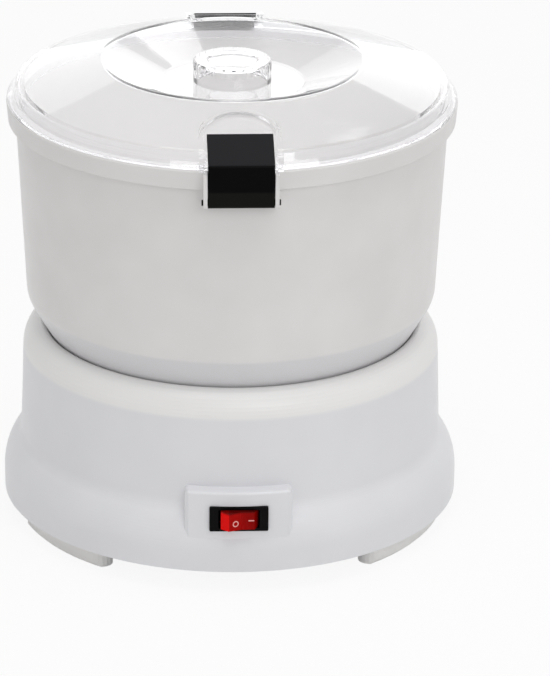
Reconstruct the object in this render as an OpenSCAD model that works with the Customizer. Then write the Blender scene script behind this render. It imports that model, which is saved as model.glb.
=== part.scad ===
// Electric potato peeler: a motor base, a lift-off bowl with a turning abrasive disc,
// and a clear lid that two hinged levers hold down. Millimetres, +Z up. The origin is on
// the surface it stands on, at the centre. The switch and one lever face -Y.

/* [Base housing] */
// Radius of the base at its bottom edge
base_r = 127.5; // [121:0.5:134]
// Height of the base housing, from its bottom edge to the top of its shoulder
base_h = 99; // [94:0.1:108]
// Wall of the base housing
base_wall = 3; // [2.4:0.1:3.6]
// Height of the upright lip at the bottom edge
base_lip_h = 11.6; // [8:0.1:14]
// Radius of the rounded foot of the flare
flare_round = 29.5; // [26:0.5:34]
// Radius of the hollow curve that leads from the flare to the wall
flare_fillet = 11; // [8:0.5:14]
// Steepest lean of the flare from upright, in degrees
flare_angle = 40.5; // [38:0.5:44]
// Draft of the wall, in degrees
wall_draft = 1.9; // [1:0.1:3]
// Radius of the shoulder
shoulder_r = 16; // [13:0.5:18]
// Radius of the inner edge of the shoulder
rim_edge_r = 3.3; // [2.6:0.1:4]
// Depth of the well that the bowl stands in
well_depth = 14.8; // [13:0.1:17]
// Thickness of the deck under the well
deck_t = 3; // [2.4:0.1:4]
// Height of the sealed spout round the output shaft, above the deck
spout_h = 17; // [14:0.5:20]
// Radius of the spout
spout_r = 11; // [10.2:0.1:11.6]

/* [Switch] */
// Width of the raised panel round the switch
panel_w = 58.2; // [48:0.1:62]
// Height of the raised panel
panel_h = 30; // [26:0.1:34]
// Height of the panel's lower edge above the base's bottom edge
panel_lift = 16.2; // [15:0.1:20]
// How far the panel's face lies inside the base's outer radius
panel_inset = 1; // [0.3:0.1:3]
// Rounding of the panel's outer edges
panel_round = 1.4; // [0.8:0.1:1.8]
// Radius of the panel's corners
panel_corner = 3; // [2:0.1:5]
// Width of the switch bezel
bezel_w = 31.8; // [28:0.1:34]
// Height of the switch bezel
bezel_h = 14.1; // [13.6:0.1:16]
// Thickness of the switch bezel
bezel_t = 1.7; // [1.2:0.1:2.2]
// Length of the rocker
rocker_w = 21; // [18:0.1:22]
// Height of the rocker
rocker_h = 10.4; // [9.6:0.1:10.8]
// How far the rocker tilts either side of level, in degrees
rocker_tilt = 12; // [9:0.5:13]

/* [Feet and floor plate] */
// Height of the feet
foot_h = 12; // [9:0.5:16]
// Width of a foot across its arc
foot_w = 13; // [12:0.5:16]
// Arc that a foot spans between its round ends, in degrees
foot_arc = 31; // [24:1:34]
// Angle of a foot's middle from the front, in degrees
foot_angle = 56; // [50:1:60]
// How far the feet lie inside the base's outer radius
foot_inset = 7; // [5:0.5:12]
// Thickness of the floor plate
plate_t = 3; // [2:0.1:4]

/* [Drive] */
// Module of the gears
gear_module = 1.5; // [1.4:0.05:1.6]
// Teeth on the motor pinion
pinion_teeth = 15; // [14:1:16]
// Teeth on the drive gear
gear_teeth = 60; // [56:4:64]
// Face width of the drive gear
gear_face = 8; // [6:0.5:9]
// Backlash between the gears along the pitch circle
backlash = 0.3; // [0.2:0.02:0.5]
// Radius of the output shaft
shaft_r = 5; // [4.5:0.1:5.5]
// Size across the flats of the output shaft's hexagon
drive_flats = 8; // [7:0.1:8.4]
// Length of the output shaft's hexagon
drive_len = 15; // [12:0.5:18]
// Radius of the motor shaft
motor_shaft_r = 3; // [2.5:0.1:3.4]
// Radius of the rotor
rotor_r = 13.2; // [12:0.1:14]
// Air gap between the rotor and the stator
air_gap = 0.4; // [0.3:0.05:0.6]
// Height of the stator's stack of laminations
stack_h = 18; // [15:0.5:19]
// Thickness of the chassis plate
chassis_t = 2; // [1.5:0.1:2.5]
// Height of the chassis plate's underside above the floor plate
chassis_lift = 41; // [40:0.5:44]

/* [Bowl] */
// Height of the bowl, from its foot ring to its rim
bowl_h = 144.2; // [134:0.1:154]
// Wall of the bowl
bowl_wall = 2.5; // [2:0.1:3]
// Height of the sloping band above the foot ring
bowl_band_h = 20; // [17:0.1:23]
// How far the sloping band leads outwards
bowl_band_w = 11.6; // [9:0.1:13]
// Radius where the sloping band rounds into the wall
bowl_bend_r = 16; // [10:0.5:20]
// How much further out the wall is at its top than at the bend
bowl_draft_w = 5.2; // [3.5:0.1:6.5]
// How far the rim stands out of the wall
rim_w = 5; // [4:0.1:6.5]
// Height of the rim
rim_h = 11; // [9:0.1:14]
// How far the rim's lower edge lies inside its top edge
rim_undercut = 0.8; // [0.4:0.1:1.4]
// Thickness of the bowl's floor
bowl_floor_t = 3; // [2.4:0.1:3.6]
// Height of the bowl's centre tube above its floor
tube_h = 20; // [17:0.5:21]

/* [Lid] */
// Thickness of the clear lid
lid_t = 2; // [1.6:0.1:2.6]
// Height of the lid's skirt
skirt_h = 8.7; // [7:0.1:11]
// How far the skirt leans in over its height
skirt_lean = 4.6; // [3.4:0.1:5.6]
// Radius of the lid's crest
crest_r = 72; // [65:0.5:77]
// Height of the crest above the top of the skirt
crest_h = 13.2; // [11:0.1:16]
// Radius of the rounding on the crest
crest_round = 5; // [4:0.5:7]
// Depth of the dish inside the crest
dish_depth = 12.6; // [11:0.1:14]
// Radius of the dish's flat floor
dish_r = 39.5; // [35:0.5:45]
// Radius of the lid's grip
knob_r = 21.6; // [18:0.1:23]
// Height of the grip above the dish's floor
knob_h = 11.8; // [9:0.1:12.5]
// Flutes round the crown of the grip
knob_flutes = 24; // [16:1:30]
// Depth of the sunk seat under a latch, inside its raised rib
seat_sink = 1.7; // [1:0.1:2.2]

/* [Latches] */
// Width of a latch lever
latch_w = 35; // [31:0.1:39]
// How far a latch reaches in over the lid from its outermost edge
latch_reach = 26.7; // [24:0.1:29]
// Wall of a latch lever
latch_wall = 2.2; // [1.8:0.1:2.6]
// Height of a latch's hinge pin below the top of the bowl's rim
latch_drop = 16; // [14:0.1:17]
// Radius of a latch's hinge pin
pin_r = 1.6; // [1.4:0.05:1.8]
// Thickness of an ear that carries the hinge pin
ear_t = 2.1; // [1.8:0.1:2.6]

/* [Peeling disc] */
// Thickness of the disc
disc_t = 3; // [2.4:0.1:4]
// Ridges on the disc
disc_ridges = 6; // [4:1:8]
// Radius of a ridge's round back
ridge_r = 4; // [3:0.5:5]
// Thickness of the abrasive sheet
grit_t = 0.8; // [0.6:0.1:1.2]
// Height of the disc's hub above the disc
hub_h = 36; // [34:0.5:39]
// Radius of the hub where it meets the disc
hub_r = 22; // [21:0.5:26]

/* [Cord inlet] */
// Radius of the bore for the cord
cord_bore_r = 3.6; // [3:0.1:4.2]
// Height of the cord inlet above the base's bottom edge
inlet_lift = 22; // [20:0.5:26]

/* [Hidden] */

$fn = 96;
eps = 0.01;

// Clearances
seat_gap = 0.3;       // between parts that lift off or slide past each other
fit_gap = 0.05;       // radial, between a pin or shaft and the bore it turns in
press_gap = 0.02;     // radial, between a part and what it is pressed on
screw_gap = 0.15;     // radial, between a screw and its hole
well_gap = 1;         // radial, between the bowl's foot and the well

// Screws
screw_r = 1.5;
screw_head_r = 3;
screw_head_h = 2;
post_r = 5;

// Colours
shell_white = "#f1f1f1";
foot_grey = "#dcdcda";
latch_black = "#1c1c1c";
lid_clear = [0.86, 0.90, 0.93, 0.45];
rocker_red = "#d21f12";
steel = "#b9bcc0";
dark_steel = "#6d7074";
copper = "#b0643a";
bronze = "#a9814a";
nylon = "#e7e4da";

function polar(r, a) = [r * cos(a), r * sin(a)];
function arc(centre, r, a0, a1, n = 8) =
    [for (i = [0:n]) centre + polar(r, a0 + (a1 - a0) * i / n)];

// ---- base housing profile, as radius and height

edge_z = foot_h;
base_top = edge_z + base_h;
deck_top = base_top - well_depth;
deck_under = deck_top - deck_t;

foot_curve = [base_r - flare_round, edge_z + base_lip_h];
waist_curve = foot_curve + polar(flare_round + flare_fillet, flare_angle);
wall_foot = waist_curve - polar(flare_fillet, wall_draft);
edge_turn = 63;
shoulder_z = base_top - rim_edge_r - (shoulder_r - rim_edge_r) * sin(edge_turn);
wall_rise = (shoulder_z + shoulder_r * sin(wall_draft) - wall_foot.y) / cos(wall_draft);
shoulder_curve = wall_foot + wall_rise * [-sin(wall_draft), cos(wall_draft)]
    - polar(shoulder_r, wall_draft);
edge_curve = shoulder_curve + polar(shoulder_r - rim_edge_r, edge_turn);
well_r = edge_curve.x - rim_edge_r;

function skin_radius(z, inset) =
    z < foot_curve.y ? base_r - inset
    : z < foot_curve.y + (flare_round - inset) * sin(flare_angle)
        ? foot_curve.x + sqrt(pow(flare_round - inset, 2) - pow(z - foot_curve.y, 2))
    : wall_foot.x - inset - (z - wall_foot.y) * tan(wall_draft);

// ---- drive layout, from the bottom up

plate_top = edge_z + plate_t;
chassis_z = plate_top + chassis_lift;
chassis_top = chassis_z + chassis_t;
motor_y = gear_module * (pinion_teeth + gear_teeth) / 2;
bracket_t = 2.5;
bracket_standoff = 2;
bracket_hang = 2.5;
stack_top = chassis_z - bracket_hang - bracket_t - bracket_standoff;
stack_z = stack_top - stack_h;
bottom_bracket_z = stack_z - bracket_standoff - bracket_t;
motor_bush_r = 5;
motor_bush_h = 6;
motor_screw_x = 22;
fan_h = 5.5;
fan_top = bottom_bracket_z - 2.5;
fan_r = 24;
bush_r = 8;
bush_flange_r = 11;
bush_flange_t = 1.5;
lower_bush_h = 12;
lower_bush_z = chassis_top + bush_flange_t - lower_bush_h;
gear_hub_z = chassis_top + bush_flange_t + seat_gap;
gear_hub_h = 13;
gear_hub_r = 10;
gear_z = gear_hub_z + 1.2;
gear_pin_z = gear_hub_z + gear_hub_h - 2.6;
gear_pin_r = 1.5;
spout_top = deck_top + spout_h;
spout_hang = 12;
spout_foot = deck_under - spout_hang;
seal_h = 3.6;
upper_bush_top = spout_top - seal_h - seat_gap;
upper_bush_h = 20;
circlip_t = 1;
circlip_z = lower_bush_z - seat_gap - circlip_t;
circlip_r = 7.5;
groove_r = shaft_r - 0.6;

// ---- bowl, as radius and height

bowl_z = deck_top + seat_gap;
bowl_foot_r = well_r - well_gap;
bowl_top = bowl_z + bowl_h;
band_foot = [bowl_foot_r + 0.4, edge_curve.y + 0.6];
band_top = band_foot + [bowl_band_w, bowl_band_h];
band_angle = atan(bowl_band_w / bowl_band_h);
bowl_low_r = band_top.x;
bowl_mouth_r = bowl_low_r + bowl_draft_w;
rim_r = bowl_mouth_r + rim_w;
rim_foot_z = bowl_top - rim_h;
rim_foot_r = rim_r - rim_undercut;
wall_lean = atan(bowl_draft_w / (rim_foot_z - band_top.y));
bend_half = (band_angle - wall_lean) / 2;
bend_cut = bowl_bend_r * tan(bend_half);
bend_centre = band_top + bend_cut * [sin(wall_lean), cos(wall_lean)]
    - bowl_bend_r * [cos(wall_lean), -sin(wall_lean)];
foot_ring_h = 4;
bowl_floor_z = bowl_z + foot_ring_h;
key_w = 6;
key_top = bowl_floor_z - 2 * seat_gap;
bowl_floor_top = bowl_floor_z + bowl_floor_t;
tube_bore_r = spout_r + 1.5;
tube_r = tube_bore_r + bowl_wall;
tube_top = bowl_floor_top + tube_h;
mouth_bore_r = bowl_mouth_r - bowl_wall;

// ---- disc

disc_z = bowl_floor_top + 2.5;
disc_top = disc_z + disc_t;
disc_r = bowl_foot_r - bowl_wall - 1.7;
hub_top = disc_top + hub_h;
hub_top_r = 11;
hub_wall = 3;
drive_corner_r = drive_flats / 2 / cos(30);
socket_gap = 0.25;
insert_r = 7.5;
insert_h = drive_len + 1;
insert_z = hub_top - 3 - insert_h;
shoulder_top = insert_z - seat_gap;
drive_top = shoulder_top + drive_len;

// ---- lid, as radius and height

lid_z = bowl_top + seat_gap;
lid_r = rim_r - 0.3;
skirt_top = [lid_r - skirt_lean, lid_z + skirt_h];
crest_z = skirt_top.y + crest_h;
slope_angle = atan(crest_h / (skirt_top.x - crest_r));
dish_z = crest_z - dish_depth;
dish_angle = atan(dish_depth / (crest_r - dish_r));
crest_centre = [crest_r, crest_z - crest_round];
knob_top = dish_z + knob_h;
knob_wall = 2.2;
skirt_foot_h = 0.8;
skirt_kink = [1.6, 3.4];
arch_t = 2.6;
arch_h = 1.2;
cheek_gap = 1.9;
arch_out_r = latch_w / 2 + cheek_gap + arch_t;
arch_centre_r = lid_r - 19.5;
seat_floor_t = lid_t + 0.1;

// ---- latch, as radius and height

latch_face_gap = 0.6;
latch_back = rim_r + latch_face_gap;
latch_out = 5.6;
latch_pin = [rim_r + 2.7, bowl_top - latch_drop];
barrel_r = 3;
crease = [latch_back + latch_out, bowl_top + 5.3];
hook_tip_r = crease.x - latch_reach;
hook_gap = 0.4;
function slope_z(r) = skirt_top.y + (skirt_top.x - r) * tan(slope_angle);
function seat_z(r) = slope_z(r) - seat_sink;
function hook_point(r) = [r, seat_z(r) + hook_gap / cos(slope_angle)];
hook_under = hook_point(hook_tip_r);
hook_t = 2.2;
ear_gap = 0.3;
ear_in = latch_w / 2 + ear_gap;
ear_out = ear_in + ear_t;
pin_half = ear_out + 0.9;
ear_root_r = sqrt(pow(bowl_mouth_r - 0.9, 2) - pow(ear_out, 2));

// ---- switch

panel_r = base_r - panel_inset;
panel_z = edge_z + panel_lift;
switch_z = panel_z + panel_h / 2;
panel_t = 2.5;
bezel_seat = sqrt(pow(panel_r, 2) - pow(bezel_w / 2, 2)) - 0.1;
bezel_face = bezel_seat + bezel_t;
body_w = rocker_w + 6;
body_h = rocker_h + 1.9;
body_depth = 20;
rocker_play = 0.25;
pivot_depth = 3;
pivot_r = 1.2;
rocker_cavity = 12;

// ---- cord inlet

inlet_z = edge_z + inlet_lift;
inlet_face = skin_radius(inlet_z, 0) - 1;
gland_neck_r = cord_bore_r + 2.4;
gland_flange_r = gland_neck_r + 2.8;
gland_flange_t = 4;
gland_lip_t = 2.4;
gland_grip = 9;
inlet_boss_r = gland_neck_r + 5;

// ---- feet and floor plate

foot_mid_r = base_r - foot_inset - foot_w / 2;
foot_bore_r = 2.2;
foot_screw_r = foot_bore_r - screw_gap;
foot_counterbore = 6;
foot_head_r = 4.2;
foot_counterbore_r = foot_head_r + 0.8;
plate_r = base_r - base_wall - 0.4;
floor_post_r = skin_radius(deck_under / 2 + edge_z, base_wall) - post_r + 1;
// Screw posts stand at the sides and either side of the switch and of the cord inlet
post_spread = 20;
post_angles = [0, 90 - post_spread, 90 + post_spread, 180, 270 - post_spread, 270 + post_spread];
plate_boss_h = 8;

// Corners of the chassis plate and of its posts, and the round holes in it
post_x = 46;
post_front = -30;
post_rear = 84;
chassis_screw_len = 11;
chassis_hole_x = 32;
chassis_hole_y = 12;
chassis_hole_r = 9;
chassis_corners = [[post_x, post_front], [-post_x, post_front], [-post_x, post_rear],
    [post_x, post_rear]];

module at_chassis_corners() {
    for (p = chassis_corners)
        translate([p.x, p.y, 0]) children();
}

module round_rect(w, h, r) {
    square([w - 2 * r, h], center = true);
    square([w, h - 2 * r], center = true);
    for (x = [-1, 1], y = [-1, 1])
        translate([x * (w / 2 - r), y * (h / 2 - r)]) circle(r);
}

module ring(outer, inner, h) {
    difference() {
        cylinder(r = outer, h = h);
        translate([0, 0, -1]) cylinder(r = inner, h = h + 2);
    }
}

// A pan-head screw that points up from its head
module screw(r, head_r, head_h, len) {
    cylinder(r = r, h = len);
    translate([0, 0, -head_h])
        difference() {
            cylinder(r1 = head_r * 0.85, r2 = head_r, h = head_h);
            for (a = [0, 90])
                rotate(a) translate([-head_r * 0.55, -0.4, -1]) cube([head_r * 1.1, 0.8, 2]);
        }
}

// ---- base

module housing_shell() {
    shell_inner_turn = acos((well_r + base_wall - shoulder_curve.x) / (shoulder_r - base_wall));
    outside = concat(
        [[base_r, edge_z]],
        arc(foot_curve, flare_round, 0, flare_angle, 12),
        arc(waist_curve, flare_fillet, 180 + flare_angle, 180 + wall_draft, 6),
        arc(shoulder_curve, shoulder_r, wall_draft, edge_turn, 8),
        arc(edge_curve, rim_edge_r, edge_turn, 180, 6)
    );
    centre = [
        [well_r, deck_top], [spout_r, deck_top], [spout_r, spout_top],
        [bush_r + press_gap, spout_top], [bush_r + press_gap, spout_foot],
        [spout_r, spout_foot], [spout_r, deck_under], [well_r + base_wall, deck_under]
    ];
    inside = concat(
        arc(shoulder_curve, shoulder_r - base_wall, shell_inner_turn, wall_draft, 6),
        arc(waist_curve, flare_fillet + base_wall, 180 + wall_draft, 180 + flare_angle, 6),
        arc(foot_curve, flare_round - base_wall, flare_angle, 0, 10),
        [[base_r - base_wall, edge_z]]
    );
    rotate_extrude() polygon(concat(outside, centre, inside));
}

module panel_block(w, h, corner, r, back) {
    side = sqrt(r * r - w * w / 4) - panel_round;
    run = base_r - side;
    top = panel_z + panel_h;
    intersection() {
        translate([0, -back, switch_z])
            rotate([90, 0, 0]) linear_extrude(base_r - back) round_rect(w, h, corner);
        rotate_extrude() polygon(concat(
            [[0, panel_z]], arc([r - panel_round, panel_z + panel_round], panel_round, -90, 0, 4),
            arc([r - panel_round, top - panel_round], panel_round, 0, 90, 4), [[0, top]]
        ));
        // the upright edges of its face are bevelled
        translate([0, 0, panel_z]) linear_extrude(panel_h) polygon([
            [-w / 2, 0], [w / 2, 0], [w / 2, -side], [w / 2 - run, -base_r],
            [run - w / 2, -base_r], [-w / 2, -side]
        ]);
    }
}

// Ribs that stand in the slots of the bowl's foot ring and stop it turning
module well_keys() {
    for (a = [45:90:315])
        rotate(a) translate([bowl_foot_r - bowl_wall - 1, -key_w / 2, deck_top - eps])
            cube([bowl_wall + 1 + well_gap + 1, key_w, key_top - deck_top + eps]);
}

module base_housing() {
    inner_skin = skin_radius(switch_z, base_wall);
    color(shell_white) difference() {
        union() {
            housing_shell();
            panel_block(panel_w, panel_h, panel_corner, panel_r, inner_skin - 6);
            well_keys();
            for (a = post_angles)
                rotate(a) translate([floor_post_r, 0, plate_top])
                    cylinder(r = post_r, h = deck_under - plate_top + eps);
            at_chassis_corners()
                translate([0, 0, chassis_top]) cylinder(r = post_r, h = deck_under - chassis_top + eps);
            for (a = [30:60:330])
                rotate(a) translate([spout_r - 1, -1, spout_foot + 2])
                    cube([well_r - spout_r, 2, spout_hang - 2 + eps]);
            intersection() {
                translate([0, inlet_face, inlet_z])
                    rotate([90, 0, 0]) cylinder(r = inlet_boss_r, h = gland_grip);
                cylinder(r = base_r - 1, h = base_top);
            }
        }
        // hollow behind the panel
        panel_block(panel_w - 2 * panel_t, panel_h - 2 * panel_t, panel_corner - 1,
            panel_r - panel_t, inner_skin - 12);
        // flat seat for the bezel, and the hole for the switch
        translate([-(bezel_w + 0.3) / 2, -base_r - 5, switch_z - (bezel_h + 0.3) / 2])
            cube([bezel_w + 0.3, base_r + 5 - bezel_seat, bezel_h + 0.3]);
        translate([-(body_w + 0.3) / 2, -base_r, switch_z - (body_h + 0.3) / 2])
            cube([body_w + 0.3, panel_t * 4, body_h + 0.3]);
        for (a = post_angles)
            rotate(a) translate([floor_post_r, 0, plate_top - 1])
                cylinder(r = screw_r + screw_gap, h = 14, $fn = 32);
        at_chassis_corners()
            translate([0, 0, chassis_top - 1]) cylinder(r = screw_r + screw_gap, h = 14, $fn = 32);
        // cord inlet: a flat face outside and a round hole
        translate([0, base_r + 10, inlet_z])
            rotate([90, 0, 0]) cylinder(r = gland_flange_r + 0.3, h = base_r + 10 - inlet_face);
        translate([0, base_r + 1, inlet_z])
            rotate([90, 0, 0]) cylinder(r = gland_neck_r + 0.1, h = 30);
    }
}

module floor_plate() {
    slot_w = 3;
    slot_field_r = fan_r + 3;
    color(foot_grey) difference() {
        union() {
            translate([0, 0, edge_z]) cylinder(r = plate_r, h = plate_t);
            translate([0, 0, plate_top - eps]) ring(plate_r, plate_r - 2, 3);
            for (a = [foot_angle, 180 - foot_angle, 180 + foot_angle, -foot_angle])
                rotate(a - 90) translate([foot_mid_r, 0, plate_top - eps])
                    cylinder(r = post_r, h = plate_boss_h);
        }
        // air slots under the fan
        for (i = [-4:4])
            translate([i * 2 * slot_w, motor_y, edge_z - 1])
                linear_extrude(plate_t + 2)
                    round_rect(slot_w, 2 * sqrt(pow(slot_field_r, 2) - pow(i * 2 * slot_w, 2)), 1.2);
        for (a = post_angles)
            rotate(a) translate([floor_post_r, 0, edge_z - 1]) {
                cylinder(r = screw_r + screw_gap, h = plate_t + 2, $fn = 32);
                cylinder(r = screw_head_r + 0.3, h = 2.2, $fn = 48);
            }
        for (a = [foot_angle, 180 - foot_angle, 180 + foot_angle, -foot_angle])
            rotate(a - 90) translate([foot_mid_r, 0, edge_z - 1])
                cylinder(r = foot_bore_r, h = plate_t + plate_boss_h, $fn = 32);
    }
}

module floor_screws() {
    color(steel)
        for (a = post_angles)
            rotate(a) translate([floor_post_r, 0, edge_z + 1.2])
                screw(screw_r, screw_head_r, 1.2, plate_t + 10);
}

// An arc-shaped pad with round ends and a bevelled sole; a is the angle of its middle
module foot(a) {
    half = foot_arc / 2;
    half_w = foot_w / 2;
    bevel = 1.5;
    outline = concat(
        arc([0, 0], foot_mid_r + half_w, -half, half, 10),
        arc(polar(foot_mid_r, half), half_w, half, half + 180, 8),
        arc([0, 0], foot_mid_r - half_w, half, -half, 10),
        arc(polar(foot_mid_r, -half), half_w, 180 - half, 360 - half, 8)
    );
    color(foot_grey) rotate(a) difference() {
        intersection() {
            linear_extrude(foot_h) polygon(outline);
            rotate_extrude() polygon([
                [foot_mid_r - half_w + bevel, 0], [foot_mid_r + half_w - bevel, 0],
                [foot_mid_r + half_w + 1, bevel + 1], [foot_mid_r + half_w + 1, foot_h + 1],
                [foot_mid_r - half_w - 1, foot_h + 1], [foot_mid_r - half_w - 1, bevel + 1]
            ]);
        }
        translate([foot_mid_r, 0, -1]) cylinder(r = foot_bore_r, h = foot_h + 2, $fn = 32);
        translate([foot_mid_r, 0, -1]) cylinder(r = foot_counterbore_r, h = foot_counterbore + 1, $fn = 48);
    }
}

module foot_front_right() foot(foot_angle - 90);
module foot_front_left() foot(-90 - foot_angle);
module foot_rear_left() foot(90 + foot_angle);
module foot_rear_right() foot(90 - foot_angle);

module foot_screws() {
    color(steel)
        for (a = [foot_angle - 90, -90 - foot_angle, 90 + foot_angle, 90 - foot_angle])
            rotate(a) translate([foot_mid_r, 0, foot_counterbore])
                screw(foot_screw_r, foot_head_r, 2.4, foot_h - foot_counterbore + plate_t + plate_boss_h - 3);
}

// ---- chassis and bearings

module chassis_plate() {
    plate_w = 2 * post_x + 12;
    plate_d = post_rear - post_front + 16;
    flange_h = 7;
    color(dark_steel) difference() {
        union() {
            translate([0, (post_rear + post_front) / 2, chassis_z])
                linear_extrude(chassis_t) round_rect(plate_w, plate_d, 7);
            for (s = [-1, 1])
                translate([s * (plate_w / 2 - chassis_t / 2) - chassis_t / 2, post_front + 6, chassis_z - flange_h])
                    cube([chassis_t, plate_d - 28, flange_h + eps]);
        }
        at_chassis_corners()
            translate([0, 0, chassis_z - 1]) cylinder(r = screw_r + screw_gap, h = chassis_t + 2, $fn = 32);
        translate([0, 0, chassis_z - 1]) cylinder(r = bush_r + press_gap, h = chassis_t + 2);
        translate([0, motor_y, chassis_z - 1]) cylinder(r = motor_bush_r + 3, h = chassis_t + 2);
        for (s = [-1, 1])
            translate([s * motor_screw_x, motor_y, chassis_z - 1])
                cylinder(r = screw_r + screw_gap, h = chassis_t + 2, $fn = 32);
        for (s = [-1, 1])
            translate([s * chassis_hole_x, chassis_hole_y, chassis_z - 1])
                cylinder(r = chassis_hole_r, h = chassis_t + 2);
    }
}

module chassis_screws() {
    color(steel) at_chassis_corners()
        translate([0, 0, chassis_z]) screw(screw_r, screw_head_r, screw_head_h, chassis_screw_len);
}

module lower_bush() {
    color(bronze) translate([0, 0, lower_bush_z]) {
        ring(bush_r, shaft_r + fit_gap, lower_bush_h);
        translate([0, 0, lower_bush_h - bush_flange_t])
            ring(bush_flange_r, shaft_r + fit_gap, bush_flange_t);
    }
}

module upper_bush() {
    color(bronze) translate([0, 0, upper_bush_top - upper_bush_h])
        ring(bush_r, shaft_r + fit_gap, upper_bush_h);
}

module shaft_seal() {
    color(latch_black) translate([0, 0, spout_top - seal_h])
        rotate_extrude() polygon([
            [shaft_r + fit_gap, 0], [bush_r, 0], [bush_r, seal_h], [bush_r - 1, seal_h],
            [bush_r - 1.4, 1.4], [shaft_r + 1, 1.4], [shaft_r + fit_gap, 2.6]
        ]);
}

// ---- motor: a shaded-pole motor that hangs under the chassis

stack_half_w = 28;
stack_front = -20;
stack_rear = 34;
bar_front = 25;

module stator_stack() {
    seam = 0.25;
    color(dark_steel) translate([0, motor_y, stack_z]) difference() {
        translate([0, (stack_rear + stack_front) / 2])
            linear_extrude(stack_h) round_rect(2 * stack_half_w, stack_rear - stack_front, 4);
        translate([0, 0, -1]) cylinder(r = rotor_r + air_gap, h = stack_h + 2);
        translate([-17, rotor_r + air_gap + 2.6, -1])
            cube([34, bar_front - rotor_r - air_gap - 2.6, stack_h + 2]);
        for (s = [-1, 1])
            translate([s * motor_screw_x, 0, -1]) cylinder(r = screw_r + screw_gap, h = stack_h + 2, $fn = 32);
        // the joints of the laminations, as grooves round the stack
        for (i = [1:5])
            translate([0, 0, i * stack_h / 6]) difference() {
                translate([-40, stack_front - 1, 0]) cube([80, stack_rear - stack_front + 2, seam]);
                translate([-stack_half_w + 0.6, stack_front + 0.6, -1])
                    cube([2 * stack_half_w - 1.2, stack_rear - stack_front - 1.2, 2]);
            }
    }
}

bobbin_half = 16;
bobbin_rise = 6.2;
bobbin_front = 18.2;
bobbin_rear = 41;

module bar_sleeve(grow, half) {
    translate([-half, motor_y + bar_front - grow, stack_z - grow])
        cube([2 * half, stack_rear - bar_front + 2 * grow, stack_h + 2 * grow]);
}

module coil_bobbin() {
    color(nylon) difference() {
        union() {
            bar_sleeve(1.2, bobbin_half - eps);
            for (s = [-1, 1])
                translate([s * (bobbin_half - 0.6) - 0.6, motor_y + bobbin_front, stack_z - bobbin_rise])
                    cube([1.2, bobbin_rear - bobbin_front, stack_h + 2 * bobbin_rise]);
        }
        bar_sleeve(0.2, bobbin_half + 1);
    }
}

module coil_winding() {
    color(copper) difference() {
        translate([-bobbin_half + 1.25, motor_y + bobbin_front + 0.8, stack_z - bobbin_rise + 0.8])
            cube([2 * bobbin_half - 2.5, bobbin_rear - bobbin_front - 1.6, stack_h + 2 * bobbin_rise - 1.6]);
        bar_sleeve(1.25, bobbin_half + 1);
    }
}

// A bridge across the stack; it carries a bush at the middle
module bracket(plate_z, pad_low, pad_high) {
    color(steel) translate([0, motor_y, 0]) difference() {
        union() {
            translate([0, 0, plate_z]) linear_extrude(bracket_t) round_rect(2 * motor_screw_x + 12, 14, 5);
            translate([0, 0, plate_z]) cylinder(r = motor_bush_r + 4, h = bracket_t);
            for (s = [-1, 1])
                translate([s * motor_screw_x, 0, pad_low]) cylinder(r = 4.5, h = pad_high - pad_low);
        }
        translate([0, 0, plate_z - 1]) cylinder(r = motor_bush_r + press_gap, h = bracket_t + 2);
        for (s = [-1, 1])
            translate([s * motor_screw_x, 0, pad_low - 1])
                cylinder(r = screw_r + screw_gap, h = pad_high - pad_low + 2, $fn = 32);
    }
}

module motor_top_bracket() bracket(stack_top + bracket_standoff, stack_top, chassis_z);
module motor_bottom_bracket() bracket(bottom_bracket_z, bottom_bracket_z, stack_z);

module motor_bushes() {
    color(bronze)
        for (z = [stack_top + bracket_standoff + bracket_t / 2, bottom_bracket_z + bracket_t / 2])
            translate([0, motor_y, z - motor_bush_h / 2])
                ring(motor_bush_r, motor_shaft_r + fit_gap, motor_bush_h);
}

module motor_screws() {
    len = chassis_top - bottom_bracket_z;
    nut_h = 2.4;
    color(steel)
        for (s = [-1, 1])
            translate([s * motor_screw_x, motor_y, 0]) {
                translate([0, 0, bottom_bracket_z]) screw(screw_r, screw_head_r, screw_head_h, len);
                translate([0, 0, chassis_top]) difference() {
                    cylinder(r = 3.2, h = nut_h, $fn = 6);
                    translate([0, 0, -1]) cylinder(r = screw_r - 0.3, h = nut_h + 2, $fn = 32);
                }
            }
}

module rotor_core() {
    slots = 12;
    color(steel) translate([0, motor_y, stack_z]) difference() {
        union() {
            translate([0, 0, 0.5]) cylinder(r = rotor_r, h = stack_h - 1);
            translate([0, 0, -0.1]) cylinder(r = rotor_r - 1.8, h = stack_h + 0.2);
        }
        translate([0, 0, -1]) cylinder(r = motor_shaft_r + press_gap, h = stack_h + 2);
        for (i = [0:slots - 1])
            rotate(i * 360 / slots) translate([rotor_r - 0.3, -0.5, -1]) cube([2, 1, stack_h + 2]);
    }
}

module motor_shaft() {
    low = fan_top - fan_h - 0.4;
    color(steel) translate([0, motor_y, low]) {
        cylinder(r = motor_shaft_r, h = gear_z + gear_face + 2 - low);
        translate([0, 0, -0.6]) cylinder(r1 = motor_shaft_r - 0.6, r2 = motor_shaft_r, h = 0.6);
    }
}

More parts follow.
